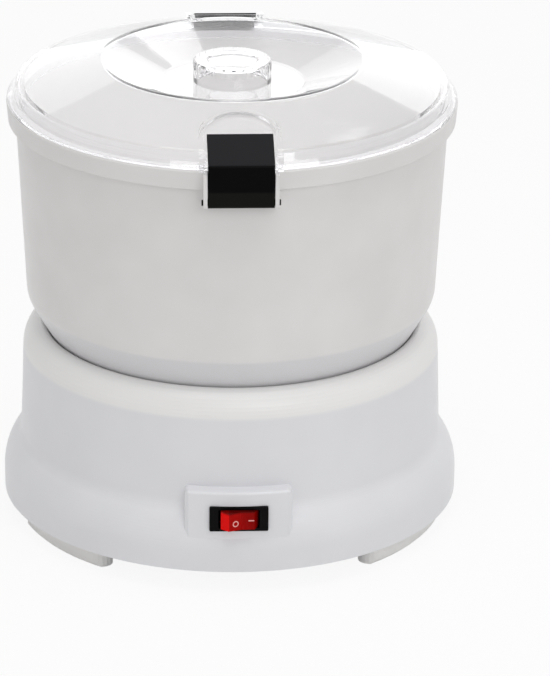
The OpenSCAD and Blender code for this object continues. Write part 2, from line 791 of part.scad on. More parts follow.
module cooling_fan() {
    blades = 9;
    blade_t = 1.2;
    blade_turn = 18;
    boss_r = 6.5;
    plate_z = fan_h - 1.2;
    step = 360 / blades;
    color(nylon) translate([0, motor_y, fan_top - fan_h]) difference() {
        union() {
            cylinder(r = boss_r, h = fan_h);
            translate([0, 0, plate_z]) cylinder(r = fan_r, h = fan_h - plate_z);
            for (i = [0:blades - 1])
                rotate(i * step) translate([boss_r - 1.5, -blade_t / 2, 0.4]) rotate(-blade_turn)
                    cube([fan_r - boss_r, blade_t, plate_z]);
        }
        translate([0, 0, -1]) cylinder(r = motor_shaft_r + press_gap, h = fan_h + 2);
        // openings in the plate, midway between the blades
        for (i = [0:blades - 1])
            rotate((i + 0.5) * step - blade_turn * 0.7) translate([fan_r * 0.62, 0, plate_z - 1])
                cylinder(r = 2.4, h = 4, $fn = 32);
    }
}

// ---- gears

pressure_angle = 20;
addendum = 0.92;
dedendum = 1.25;
function involute(a) = tan(a) * 180 / PI - a;
function flank(r, pitch_r, teeth) =
    let (base = pitch_r * cos(pressure_angle))
    90 / teeth - backlash / 4 / pitch_r * 180 / PI + involute(pressure_angle)
        - (r > base ? involute(acos(base / r)) : 0);

module spur(teeth) {
    pitch_r = gear_module * teeth / 2;
    root_r = pitch_r - dedendum * gear_module;
    tip_r = pitch_r + addendum * gear_module;
    low_r = max(root_r + 0.3, pitch_r * cos(pressure_angle));
    steps = 4;
    radii = concat([root_r], [for (k = [0:steps]) low_r + (tip_r - low_r) * k / steps]);
    last = len(radii) - 1;
    polygon([
        for (i = [0:teeth - 1], s = [-1, 1], k = [0:last])
            let (r = radii[s < 0 ? k : last - k])
            polar(r, i * 360 / teeth + s * flank(r, pitch_r, teeth))
    ]);
}

module pinion() {
    color(nylon) translate([0, motor_y, gear_z - 1]) difference() {
        rotate(270 + 180 / pinion_teeth) linear_extrude(gear_face + 2) spur(pinion_teeth);
        translate([0, 0, -1]) cylinder(r = motor_shaft_r + press_gap, h = gear_face + 4);
    }
}

module drive_gear() {
    pitch_r = gear_module * gear_teeth / 2;
    rim_in_r = pitch_r - 6;
    web_t = 3;
    color(nylon) difference() {
        union() {
            translate([0, 0, gear_z]) linear_extrude(gear_face)
                difference() {
                    spur(gear_teeth);
                    circle(rim_in_r);
                }
            translate([0, 0, gear_z + (gear_face - web_t) / 2]) cylinder(r = rim_in_r + 0.5, h = web_t);
            translate([0, 0, gear_hub_z]) cylinder(r = gear_hub_r, h = gear_hub_h);
            for (a = [0:60:300])
                rotate(a) translate([gear_hub_r - 1, -1, gear_z]) cube([rim_in_r - gear_hub_r + 1.5, 2, gear_face]);
        }
        translate([0, 0, gear_hub_z - 1]) cylinder(r = shaft_r + press_gap, h = gear_hub_h + 2);
        for (a = [30:60:330])
            rotate(a) translate([(gear_hub_r + rim_in_r) / 2, 0, gear_z - 1]) cylinder(r = 8, h = gear_face + 2);
        translate([-gear_hub_r - 1, 0, gear_pin_z])
            rotate([0, 90, 0]) cylinder(r = gear_pin_r + press_gap, h = 2 * gear_hub_r + 2, $fn = 48);
    }
}

module output_shaft() {
    low = circlip_z - 2;
    color(steel) difference() {
        union() {
            translate([0, 0, low]) cylinder(r = shaft_r, h = shoulder_top - low);
            translate([0, 0, shoulder_top - eps]) cylinder(r = drive_corner_r, h = drive_len - 1 + eps, $fn = 6);
            translate([0, 0, drive_top - 1]) intersection() {
                cylinder(r = drive_corner_r, h = 1, $fn = 6);
                cylinder(r1 = drive_corner_r, r2 = drive_corner_r - 1.2, h = 1);
            }
        }
        translate([0, 0, circlip_z - 0.05]) ring(shaft_r + 1, groove_r, circlip_t + 0.1);
        translate([-shaft_r - 1, 0, gear_pin_z])
            rotate([0, 90, 0]) cylinder(r = gear_pin_r + press_gap, h = 2 * shaft_r + 2, $fn = 48);
    }
}

module gear_pin() {
    color(dark_steel) translate([-gear_hub_r + 0.3, 0, gear_pin_z])
        rotate([0, 90, 0]) cylinder(r = gear_pin_r, h = 2 * gear_hub_r - 0.6, $fn = 48);
}

module shaft_circlip() {
    color(dark_steel) translate([0, 0, circlip_z]) difference() {
        ring(circlip_r, groove_r + press_gap, circlip_t);
        translate([0, -2, -1]) cube([circlip_r + 1, 4, circlip_t + 2]);
    }
}

// ---- switch

module switch_body() {
    color(latch_black) difference() {
        union() {
            translate([0, -bezel_seat, switch_z]) rotate([90, 0, 0])
                linear_extrude(bezel_t) round_rect(bezel_w, bezel_h, 0.8);
            translate([-body_w / 2, -bezel_seat - eps, switch_z - body_h / 2])
                cube([body_w, body_depth, body_h]);
        }
        translate([-rocker_w / 2 - 0.6, -bezel_face - 1, switch_z - rocker_h / 2 - rocker_play])
            cube([rocker_w + 1.2, rocker_cavity + 1, rocker_h + 2 * rocker_play]);
        translate([0, -bezel_face + pivot_depth, switch_z - body_h])
            cylinder(r = pivot_r + fit_gap, h = 2 * body_h, $fn = 48);
    }
}

// The rocker, tilted to rest with its right half pressed in
module switch_rocker() {
    half = rocker_w / 2;
    face = [[-half, 2], [-half + 3.4, 6.6], [0, 5.2], [half - 3.4, 6.6], [half, 2],
        [half - 1.7, -2], [-half + 1.7, -2]];
    color(rocker_red) translate([0, -bezel_face + pivot_depth, switch_z]) rotate(rocker_tilt) {
        translate([0, 0, -rocker_h / 2]) linear_extrude(rocker_h)
            polygon([for (p = face) [p.x, -p.y]]);
        translate([0, 0, -body_h / 2 + 0.1]) cylinder(r = pivot_r, h = body_h - 0.2, $fn = 48);
    }
}

module switch_terminals() {
    back = -bezel_seat + body_depth - eps;
    color(bronze)
        for (x = [-7, 0, 7])
            translate([x - 0.4, back, switch_z - 2.4]) difference() {
                cube([0.8, 8, 4.8]);
                translate([-1, 5, 2.4]) rotate([0, 90, 0]) cylinder(r = 0.8, h = 3, $fn = 32);
            }
}

// ---- cord inlet

module cord_gland() {
    color(latch_black) translate([0, inlet_face, inlet_z]) rotate([90, 0, 0]) difference() {
        union() {
            translate([0, 0, -gland_flange_t])
                cylinder(r1 = gland_flange_r - 1.5, r2 = gland_flange_r, h = gland_flange_t);
            cylinder(r = gland_neck_r, h = gland_grip + eps);
            translate([0, 0, gland_grip]) cylinder(r = gland_neck_r + 1.5, h = gland_lip_t);
        }
        translate([0, 0, -gland_flange_t - 1])
            cylinder(r = cord_bore_r, h = gland_flange_t + gland_grip + gland_lip_t + 2);
    }
}

block_x = -60;
block_y = 46;
block_l = 26;
block_w = 13;
block_h = 12;

module terminal_block() {
    color(nylon) translate([block_x, block_y, plate_top]) difference() {
        union() {
            translate([-block_l / 2, -block_w / 2, 0]) cube([block_l, block_w, block_h * 0.6]);
            for (x = [-8, 0, 8])
                translate([x, 0, 0]) cylinder(r = 3.6, h = block_h);
        }
        for (x = [-8, 0, 8]) {
            translate([x, 0, block_h * 0.4]) cylinder(r = 2.1, h = block_h, $fn = 32);
            translate([x, -block_w, block_h * 0.35]) rotate([-90, 0, 0])
                cylinder(r = 1.6, h = 2 * block_w, $fn = 32);
        }
    }
}

module terminal_screws() {
    color(bronze)
        for (x = [-8, 0, 8])
            translate([block_x + x, block_y, plate_top + block_h * 0.4 + 0.02]) difference() {
                cylinder(r = 2, h = block_h * 0.5, $fn = 32);
                translate([-2, -0.3, block_h * 0.5 - 0.8]) cube([4, 0.6, 1]);
            }
}

// ---- bowl

module ear_profile() {
    difference() {
        union() {
            translate([latch_pin.x, latch_pin.y]) circle(barrel_r + 0.2);
            polygon([
                [ear_root_r, latch_pin.y - 6], [latch_pin.x + 0.2, latch_pin.y - barrel_r - 0.1],
                [latch_pin.x + barrel_r + 0.2, latch_pin.y], [latch_pin.x + barrel_r - 0.6, bowl_top - 0.2],
                [ear_root_r, bowl_top - 0.2]
            ]);
        }
        translate([latch_pin.x, latch_pin.y]) circle(pin_r + fit_gap);
    }
}

// Turns a profile of radius and height into a slab that faces -Y, from x0 to x1
module slab(x0, x1) {
    translate([x0, 0, 0]) rotate([90, 0, 0]) rotate([0, -90, 0])
        translate([0, 0, -(x1 - x0)]) linear_extrude(x1 - x0) children();
}

module bowl() {
    outside = concat(
        [[bowl_foot_r, bowl_z], [bowl_foot_r, band_foot.y - 0.8], band_foot],
        arc(bend_centre, bowl_bend_r, -band_angle, -wall_lean, 6),
        [[bowl_mouth_r, rim_foot_z - 0.4], [rim_foot_r - 0.4, rim_foot_z], [rim_foot_r, rim_foot_z + 0.4],
            [rim_r, bowl_top - 1], [rim_r - 0.4, bowl_top]]
    );
    inside = concat(
        [[mouth_bore_r, bowl_top], [mouth_bore_r, rim_foot_z]],
        arc(bend_centre, bowl_bend_r - bowl_wall, -wall_lean, -band_angle, 5),
        [[bowl_foot_r - bowl_wall, band_foot.y], [bowl_foot_r - bowl_wall - 0.6, bowl_floor_top],
            [tube_r, bowl_floor_top], [tube_r - 0.5, tube_top], [tube_bore_r, tube_top],
            [tube_bore_r, bowl_floor_z], [bowl_foot_r - bowl_wall, bowl_floor_z],
            [bowl_foot_r - bowl_wall, bowl_z]]
    );
    color(shell_white) difference() {
        union() {
            rotate_extrude() polygon(concat(outside, inside));
            for (turn = [0, 180], s = [-1, 1])
                rotate(turn) slab(s > 0 ? ear_in : -ear_out, s > 0 ? ear_out : -ear_in) ear_profile();
        }
        // slots for the keys in the well
        for (a = [45:90:315])
            rotate(a) translate([bowl_foot_r - bowl_wall - 2, -key_w / 2 - seat_gap, bowl_z - 1])
                cube([bowl_wall + 4, key_w + 2 * seat_gap, key_top + seat_gap - bowl_z + 1]);
    }
}

// ---- latches

module latch_outline() {
    polygon(concat(
        arc(latch_pin, barrel_r, 180, 330, 8),
        [[crease.x - 0.5, crease.y - 8], [crease.x, crease.y - 1],
            [crease.x - 0.8, crease.y + 0.6],
            [hook_tip_r + 1.2, hook_under.y + hook_t], [hook_tip_r, hook_under.y + hook_t - 1.2],
            hook_under, hook_point(skirt_top.x + 1),
            [latch_back, crease.y - 1.2], [latch_back, latch_pin.y + 4]]
    ));
}

module latch_hollow() {
    polygon([
        [latch_back - 1, latch_pin.y + barrel_r + 1.6], [crease.x - latch_wall - 1.6, latch_pin.y + barrel_r + 1.6],
        [crease.x - latch_wall - 0.5, crease.y - 8], [crease.x - latch_wall, crease.y - 2.6],
        [latch_back + 1, crease.y - 1.4], [latch_back - 1, crease.y - 2]
    ]);
}

module latch() {
    half = latch_w / 2;
    color(latch_black) difference() {
        slab(-half, half) latch_outline();
        for (s = [-1, 0])
            slab(s * (half - latch_wall) + (s < 0 ? 0 : latch_wall / 2),
                (s + 1) * (half - latch_wall) - (s < 0 ? latch_wall / 2 : 0)) latch_hollow();
        slab(-half - 1, half + 1) translate([latch_pin.x, latch_pin.y]) circle(pin_r + fit_gap);
        // rounded corners of the hook's lip, seen from above
        for (s = [-1, 1])
            translate([s * half, -hook_tip_r, crease.y]) difference() {
                translate([-1.5, -1.5, -20]) cube([3, 3, 40]);
                translate([-s * 1.5, -1.5, -21]) cylinder(r = 1.5, h = 42, $fn = 48);
            }
    }
}

module latch_pin_rod() {
    color(latch_black) slab(-pin_half, pin_half) translate([latch_pin.x, latch_pin.y]) circle(pin_r);
}

module front_latch() latch();
module rear_latch() rotate(180) latch();
module front_latch_pin() latch_pin_rod();
module rear_latch_pin() rotate(180) latch_pin_rod();

// ---- lid

// Points of the lid's section, from the skirt up over the crest to the dish
function lid_skin(inset) = concat(
    [[lid_r - inset, lid_z], [lid_r - inset, lid_z + skirt_foot_h],
        [skirt_top.x + skirt_kink.x - inset, lid_z + skirt_kink.y - inset * 0.25],
        skirt_top + [-inset, -1.2 - inset * 0.5], skirt_top + [-0.9 - inset * 0.6, -inset * 0.97]],
    arc(crest_centre, crest_round - inset, 90 - slope_angle, 90 + dish_angle, 6),
    [[dish_r + inset * tan(dish_angle / 2), dish_z - inset]]
);

module arch_plan(r) {
    translate([0, -arch_centre_r]) circle(r);
    translate([-r, -lid_r]) square([2 * r, lid_r - arch_centre_r]);
}

// The raised rib that frames a latch: two legs joined by a half circle
module arch_rib() {
    intersection() {
        translate([0, 0, lid_z]) linear_extrude(crest_z - lid_z) difference() {
            arch_plan(arch_out_r);
            arch_plan(arch_out_r - arch_t);
            translate([-arch_out_r + arch_t, -lid_r - 10]) square([2 * (arch_out_r - arch_t), 12]);
        }
        rotate_extrude() polygon([
            [lid_r, lid_z + 1], [lid_r, skirt_top.y + 0.4], [skirt_top.x, skirt_top.y + arch_h],
            [crest_r, slope_z(crest_r) + arch_h], [crest_r, seat_z(crest_r) - seat_floor_t],
            [skirt_top.x - lid_t - 0.5, seat_z(skirt_top.x - lid_t - 0.5) - seat_floor_t]
        ]);
    }
}

// What is cut from the lid above a latch's seat
module seat_cut() {
    intersection() {
        translate([0, 0, lid_z]) linear_extrude(crest_z - lid_z) arch_plan(arch_out_r - arch_t / 2);
        rotate_extrude() polygon([
            [crest_r, seat_z(crest_r)], [lid_r + 1, seat_z(lid_r + 1)],
            [lid_r + 1, crest_z + 1], [crest_r, crest_z + 1]
        ]);
    }
}

module seat_floor() {
    out = skirt_top.x - 0.5;
    intersection() {
        translate([0, 0, lid_z]) linear_extrude(crest_z - lid_z) arch_plan(arch_out_r - arch_t * 0.7);
        rotate_extrude() polygon([
            [crest_r, seat_z(crest_r)], [out, seat_z(out)],
            [out, seat_z(out) - seat_floor_t], [crest_r, seat_z(crest_r) - seat_floor_t]
        ]);
    }
}

// The thick cheeks that stand beside a latch at the lid's edge
module cheeks() {
    in = arch_out_r - arch_t - 0.1;
    out = arch_out_r + 0.1;
    for (s = [-1, 1])
        slab(s > 0 ? in : -out, s > 0 ? out : -in)
            polygon([
                [skirt_top.x - 3, lid_z + 1], [lid_r + 1.6, lid_z + 0.2], [lid_r + 3, lid_z + 2],
                [lid_r + 2, skirt_top.y - 1], [skirt_top.x, skirt_top.y + arch_h],
                [skirt_top.x - 3, skirt_top.y + arch_h]
            ]);
}

module lid() {
    rib_r = mouth_bore_r - 0.5;
    knob_under = knob_top - knob_wall;
    knob_section = [[knob_r, dish_z], [knob_r, knob_top - 1], [knob_r - 1, knob_top], [knob_r - 7, knob_top],
        [knob_r - 8, knob_top - 1.4], [0, knob_top - 1.4], [0, knob_under - 1.4], [knob_r - 8.6, knob_under - 1.4],
        [knob_r - 8, knob_under], [knob_r - knob_wall, knob_under], [knob_r - knob_wall, dish_z - lid_t]];
    under = lid_skin(lid_t);
    count = len(under);
    color(lid_clear) difference() {
        union() {
            difference() {
                union() {
                    rotate_extrude() polygon(concat(lid_skin(0), knob_section,
                        [for (i = [count - 1:-1:0]) under[i]]));
                    translate([0, 0, bowl_top - 4])
                        ring(rib_r, rib_r - lid_t, slope_z(rib_r) - lid_t / 2 - bowl_top + 4);
                }
                for (turn = [0, 180])
                    rotate(turn) seat_cut();
            }
            for (turn = [0, 180])
                rotate(turn) {
                    arch_rib();
                    seat_floor();
                    cheeks();
                }
        }
        // flutes round the crown of the grip
        for (i = [0:knob_flutes - 1])
            rotate(i * 360 / knob_flutes) translate([knob_r + 0.5, 0, knob_top - 5])
                cylinder(r = 1.5, h = 6, $fn = 24);
    }
}

// ---- peeling disc

module ridge_bars(r, len_extra) {
    inner = hub_r + 4;
    outer = disc_r - 8;
    for (i = [0:disc_ridges - 1])
        rotate(i * 360 / disc_ridges + 15) translate([inner - len_extra, 0, disc_top])
            intersection() {
                rotate([0, 90, 0]) cylinder(r = r, h = outer - inner + 2 * len_extra);
                translate([0, -r, -0.5]) cube([outer - inner + 2 * len_extra, 2 * r, r + 1]);
            }
}

module peeling_disc() {
    hub_inner_r = tube_r + 1.2;
    color(foot_grey) union() {
        rotate_extrude() polygon([
            [hub_inner_r, disc_z], [disc_r - 1, disc_z], [disc_r, disc_z + 1], [disc_r, disc_top],
            [hub_r + 1.5, disc_top], [hub_r, disc_top + 1.5], [hub_top_r + 1.5, hub_top - 3],
            [hub_top_r - 1, hub_top - 0.6], [hub_top_r - 3, hub_top], [0, hub_top],
            [0, insert_z + insert_h], [insert_r + press_gap, insert_z + insert_h],
            [insert_r + press_gap, tube_top + 1.2], [hub_inner_r - 0.6, tube_top + 1.2]
        ]);
        ridge_bars(ridge_r, 0);
    }
}

module abrasive_sheet() {
    color(dark_steel) difference() {
        translate([0, 0, disc_top]) ring(disc_r - 2, hub_r + 2, grit_t);
        ridge_bars(ridge_r + 0.3, 0.3);
    }
}

module hub_insert() {
    color(steel) translate([0, 0, insert_z]) difference() {
        cylinder(r = insert_r, h = insert_h - 0.02);
        translate([0, 0, -1]) cylinder(r = drive_corner_r + socket_gap, h = drive_len + 1.3, $fn = 6);
    }
}

base_housing();
floor_plate();
floor_screws();
foot_front_right();
foot_front_left();
foot_rear_left();
foot_rear_right();
foot_screws();
chassis_plate();
chassis_screws();
lower_bush();
upper_bush();
shaft_seal();
stator_stack();
coil_bobbin();
coil_winding();
motor_top_bracket();
motor_bottom_bracket();
motor_bushes();
motor_screws();
rotor_core();
motor_shaft();
cooling_fan();
pinion();
drive_gear();
output_shaft();
gear_pin();
shaft_circlip();
switch_body();
switch_rocker();
switch_terminals();
cord_gland();
terminal_block();
terminal_screws();
bowl();
front_latch_pin();
rear_latch_pin();
front_latch();
rear_latch();
lid();
peeling_disc();
abrasive_sheet();
hub_insert();
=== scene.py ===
"""Electric potato peeler: finishes, switch marks, stage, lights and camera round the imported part.

Metres, +Z up. The object stands on z = 0 with its switch and one latch towards -Y.
"""
import math

import bpy
from mathutils import Matrix, Vector


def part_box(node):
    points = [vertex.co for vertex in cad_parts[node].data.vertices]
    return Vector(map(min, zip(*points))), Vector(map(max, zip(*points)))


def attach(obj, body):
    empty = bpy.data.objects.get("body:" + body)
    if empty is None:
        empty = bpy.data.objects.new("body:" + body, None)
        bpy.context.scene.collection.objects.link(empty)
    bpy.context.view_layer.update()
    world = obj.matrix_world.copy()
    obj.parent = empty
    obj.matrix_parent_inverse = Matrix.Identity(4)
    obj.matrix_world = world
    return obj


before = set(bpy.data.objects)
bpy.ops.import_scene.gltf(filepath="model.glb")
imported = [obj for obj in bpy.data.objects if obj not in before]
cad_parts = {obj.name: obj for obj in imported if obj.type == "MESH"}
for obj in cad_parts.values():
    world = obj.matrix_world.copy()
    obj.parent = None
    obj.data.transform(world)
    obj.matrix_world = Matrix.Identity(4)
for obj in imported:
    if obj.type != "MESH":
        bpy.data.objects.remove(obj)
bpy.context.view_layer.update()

MM = 0.001


# ---------------------------------------------------------------- node helpers

# A noise texture mostly stays between these two values
NOISE_LOW, NOISE_HIGH = 0.3, 0.7

# At this scale the bands of a wave texture lie one unit apart
WAVE_UNIT = math.tau / 20

# The colour sockets of a Mix node, by place, because its number sockets have the same names
MIX_FIRST, MIX_SECOND, MIX_RESULT = 6, 7, 2


def linear(hex_colour):
    """An sRGB hex colour as linear RGBA."""
    parts = [int(hex_colour[i : i + 2], 16) / 255 for i in (1, 3, 5)]
    return [c / 12.92 if c <= 0.04045 else ((c + 0.055) / 1.055) ** 2.4 for c in parts] + [1.0]


def per_mm(size):
    """The texture scale at which one feature is that many millimetres."""
    return 1 / (size * MM)


def add(tree, kind, inputs=(), **settings):
    """Adds a node with its settings. Each input is a value for its socket, or one to link from."""
    made = tree.nodes.new(kind)
    for name, value in settings.items():
        setattr(made, name, value)
    for name, value in dict(inputs).items():
        socket = made.inputs[name]
        if isinstance(value, bpy.types.NodeSocket):
            tree.links.new(value, socket)
        else:
            socket.default_value = value
    return made


def spaced(keyword):
    """A keyword as the name of a socket: Base_Color is Base Color."""
    return keyword.replace("_", " ")


def start(name, **sockets):
    """A new material with a Principled shader whose sockets hold the given values.

    Returns the material, its tree, the shader and Object coordinates.
    """
    material = bpy.data.materials.new(name)
    material.use_nodes = True
    tree = material.node_tree
    tree.nodes.clear()
    values = {spaced(keyword): value for keyword, value in sockets.items()}
    shader = add(tree, "ShaderNodeBsdfPrincipled", values)
    add(tree, "ShaderNodeOutputMaterial", {"Surface": shader.outputs["BSDF"]})
    where = add(tree, "ShaderNodeTexCoord").outputs["Object"]
    return material, tree, shader, where


def reopen(material):
    """A finished material's tree, Principled shader, source of colour and Object coordinates."""
    tree = material.node_tree
    shader = next(node for node in tree.nodes if node.type == "BSDF_PRINCIPLED")
    where = add(tree, "ShaderNodeTexCoord").outputs["Object"]
    return tree, shader, shader.inputs["Base Color"].links[0].from_socket, where


def join(tree, shader, **sources):
    """Links sources to the shader's sockets."""
    for keyword, source in sources.items():
        tree.links.new(source, shader.inputs[spaced(keyword)])


def show(tree, surface):
    """Makes a surface the one that the material shows."""
    output = next(node for node in tree.nodes if node.type == "OUTPUT_MATERIAL")
    tree.links.new(surface, output.inputs["Surface"])


def calc(tree, operation, first, second):
    """The result of a Math node."""
    made = add(tree, "ShaderNodeMath", {0: first, 1: second}, operation=operation)
    return made.outputs["Value"]


def noise(tree, where, size, detail=2.0):
    """Noise whose patches are about size millimetres across."""
    inputs = {"Vector": where, "Scale": per_mm(size), "Detail": detail}
    return add(tree, "ShaderNodeTexNoise", inputs).outputs["Fac"]


def cells(tree, where, size):
    """Cells about size millimetres across: their random tones, and the distance from a middle."""
    made = add(tree, "ShaderNodeTexVoronoi", {"Vector": where, "Scale": per_mm(size)})
    tone = add(tree, "ShaderNodeRGBToBW", {"Color": made.outputs["Color"]})
    return tone.outputs["Val"], made.outputs["Distance"]


def between(tree, factor, low, high):
    """A number that runs from low to high as factor runs over the usual span of noise."""
    made = add(
        tree,
        "ShaderNodeMapRange",
        {
            "Value": factor,
            "From Min": NOISE_LOW,
            "From Max": NOISE_HIGH,
            "To Min": low,
            "To Max": high,
        },
    )
    return made.outputs["Result"]


def mixed(tree, share, first, second):
    """A colour that goes from first to second as share goes from 0 to 1.

    Each of the two is a hex colour or a socket.
    """
    first, second = [linear(c) if isinstance(c, str) else c for c in (first, second)]
    inputs = {"Factor": share, MIX_FIRST: first, MIX_SECOND: second}
    return add(tree, "ShaderNodeMix", inputs, data_type="RGBA").outputs[MIX_RESULT]


def tinted(tree, factor, first, second):
    """A colour that runs from first to second as factor runs over the usual span of noise."""
    return mixed(tree, between(tree, factor, 0.0, 1.0), first, second)


def along(tree, where, axis, first, last):
    """A number that goes from 0 to 1 between two places along an axis."""
    place = add(tree, "ShaderNodeSeparateXYZ", {"Vector": where}).outputs[axis]
    made = add(
        tree,
        "ShaderNodeMapRange",
        {"Value": place, "From Min": first, "From Max": last},
        interpolation_type="SMOOTHSTEP",
    )
    return made.outputs["Result"]


def up(tree, where, node, first, last):
    """A number that goes from 0 to 1 between two heights in millimetres above a node's foot."""
    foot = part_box(node)[0].z
    return along(tree, where, "Z", foot + first * MM, foot + last * MM)


def raised(tree, height, depth, over=None):
    """A bump that is depth millimetres deep."""
    inputs = {"Height": height, "Distance": depth * MM, "Strength": 1.0}
    if over is not None:
        inputs["Normal"] = over
    return add(tree, "ShaderNodeBump", inputs).outputs["Normal"]


# ------------------------------------------------------------------- materials

# How far apart the shallow waves of a polished mould lie, in millimetres
MOULD_WAVE = 3.0


def moulded(name, colour, shade, rough, peel=0.003, mottle=35.0, edge=0.0, **sockets):
    """A moulded plastic.

    Its colour wanders over mottle millimetres and its gloss over a third of that, where the melt
    cooled unevenly and hands have rubbed it. Its skin has waves that are peel millimetres deep.
    With edge, its corners are drawn with a round of that many millimetres.
    """
    material, tree, shader, where = start(name, **sockets)
    soft_round = None
    if edge:
        bevel = add(tree, "ShaderNodeBevel", {"Radius": edge * MM}, samples=4)
        soft_round = bevel.outputs["Normal"]
    worn = noise(tree, where, mottle / 3, detail=4.0)
    waves = noise(tree, where, MOULD_WAVE, detail=1.0)
    join(
        tree,
        shader,
        Base_Color=tinted(tree, noise(tree, where, mottle), colour, shade),
        Roughness=between(tree, worn, rough - 0.04, rough + 0.05),
        Normal=raised(tree, waves, peel, over=soft_round),
    )
    return material


def housing_abs():
    """White ABS, moulded in a polished tool: a cool pale grey-white with a clear but soft gloss.

    The shoulder is painted a lighter, warmer white than the wall: painted light, for the light that
    falls on this upward-facing band.
    """
    name = "white ABS housing"
    material = moulded(name, "#E3E3E6", "#E0E0E3", rough=0.35, peel=0.0015, IOR=1.53)
    tree, shader, wall, where = reopen(material)
    # painted light: above this height the housing is drawn lighter and warmer than the wall
    shoulder = up(tree, where, "base_housing", 83.0, 86.0)
    join(tree, shader, Base_Color=mixed(tree, shoulder, wall, "#ECEBEA"))
    return material


def bowl_polypropylene():
    """White polypropylene: a little warmer and waxier than the housing.

    The skin that faces the axis is painted whiter: painted light, for the light that comes in
    through the wall and lid. The sloping band at the bowl's foot is painted a shade darker:
    painted shade, because it faces down towards the base.
    """
    name = "white polypropylene bowl"
    material = moulded(name, "#E3E1E0", "#DEDCDB", rough=0.33, peel=0.0015, IOR=1.49)
    tree, shader, outer, where = reopen(material)
    level = {0: where, 1: (1, 1, 0)}
    outwards = add(tree, "ShaderNodeVectorMath", level, operation="MULTIPLY").outputs["Vector"]
    face = add(tree, "ShaderNodeNewGeometry").outputs["Normal"]
    facing = add(tree, "ShaderNodeVectorMath", {0: outwards, 1: face}, operation="DOT_PRODUCT")
    # painted light: the skin that faces the axis is drawn whiter
    painted_light_inside = calc(tree, "LESS_THAN", facing.outputs["Value"], -1.0 * MM)
    # painted shade: the sloping band at the foot is drawn darker
    painted_shade_band = mixed(tree, up(tree, where, "bowl", 33.0, 30.0), outer, "#D6D5D7")
    join(tree, shader, Base_Color=mixed(tree, painted_light_inside, painted_shade_band, "#FAF9F8"))
    return material


def disc_abs():
    """Pale grey ABS of the peeling disc, satin from the wash."""
    return moulded("pale grey ABS disc", "#D8D8D6", "#D0D0CE", rough=0.42, IOR=1.53)


def foot_elastomer():
    """Pale grey thermoplastic rubber of the feet: matt and slightly soft."""
    return moulded("pale grey foot rubber", "#F2F1EF", "#ECEBE9", rough=0.55, peel=0.02, IOR=1.5)


def latch_abs():
    """Black ABS, moulded in a polished tool: nearly black, with small rounds on its corners.

    The face that looks up, above the lever's crease, is painted a lighter black: painted light,
    for the light that falls on it from above. The foot of the lever is drawn a lighter black too.
    """
    material = moulded(
        "black ABS latch",
        "#060607",
        "#080809",
        rough=0.34,
        peel=0.004,
        edge=0.5,
        IOR=1.53,
        Specular_IOR_Level=0.03,
    )
    tree, shader, black, where = reopen(material)
    # the foot of the lever is drawn a lighter black
    lighter_lever_foot = mixed(tree, up(tree, where, "front_latch", 9.9, 8.7), black, "#161714")
    # painted light: the upward face above the crease is drawn lighter
    painted_lit_top = mixed(tree, up(tree, where, "front_latch", 24.0, 24.6), lighter_lever_foot, "#212123")
    join(tree, shader, Base_Color=painted_lit_top)
    return material


def switch_nylon():
    """Black nylon of the switch body: satin, with small rounds on its corners."""
    return moulded(
        "black nylon switch",
        "#0B0B0C",
        "#0E0E0F",
        rough=0.32,
        peel=0.004,
        edge=0.25,
        IOR=1.53,
        Specular_IOR_Level=0.04,
    )


def rocker_polycarbonate():
    """Clear red polycarbonate of the rocker.

    It is deep red over the dark switch body, painted darker towards the end that is pressed in:
    painted shade. The end that stands out is painted bright red: painted light, for the light that
    comes through from the side. Its top edge is painted nearly black: painted shadow from the
    bezel.
    """
    material, tree, shader, where = start(
        "red polycarbonate rocker",
        IOR=1.58,
        Specular_IOR_Level=0.04,
        Subsurface_Weight=0.3,
        Subsurface_Scale=1.0 * MM,
    )
    shader.inputs["Subsurface Radius"].default_value = (1.0, 0.12, 0.06)
    # painted shade: the red darkens along the rocker towards the end that is pressed in
    thick = mixed(tree, along(tree, where, "X", -4.0 * MM, 9.0 * MM), "#A60604", "#860402")
    # painted light: the end that stands out is drawn bright red
    lit = mixed(tree, along(tree, where, "X", -5.9 * MM, -5.2 * MM), "#EA0C0A", thick)
    patches = between(tree, noise(tree, where, 6.0), 0.0, 0.12)
    patchy = mixed(tree, patches, lit, "#C00C06")
    # painted shadow: the top edge is drawn nearly black
    below_edge = up(tree, where, "switch_rocker", 11.75, 9.75)
    join(
        tree,
        shader,
        Base_Color=mixed(tree, below_edge, "#3A0806", patchy),
        Roughness=between(tree, noise(tree, where, 4.0), 0.16, 0.24),
        Normal=raised(tree, noise(tree, where, 2.0, detail=1.0), 0.006),
    )
    return material


def mark_ink():
    """Pale ink of the marks that are printed on the rocker: thin enough for some red to show."""
    material, tree, shader, where = start("pale printed ink", IOR=1.45)
    join(
        tree,
        shader,
        Base_Color=tinted(tree, noise(tree, where, 0.5), "#F2B9B4", "#E79A95"),
        Roughness=between(tree, noise(tree, where, 1.0), 0.35, 0.5),
    )
    return material


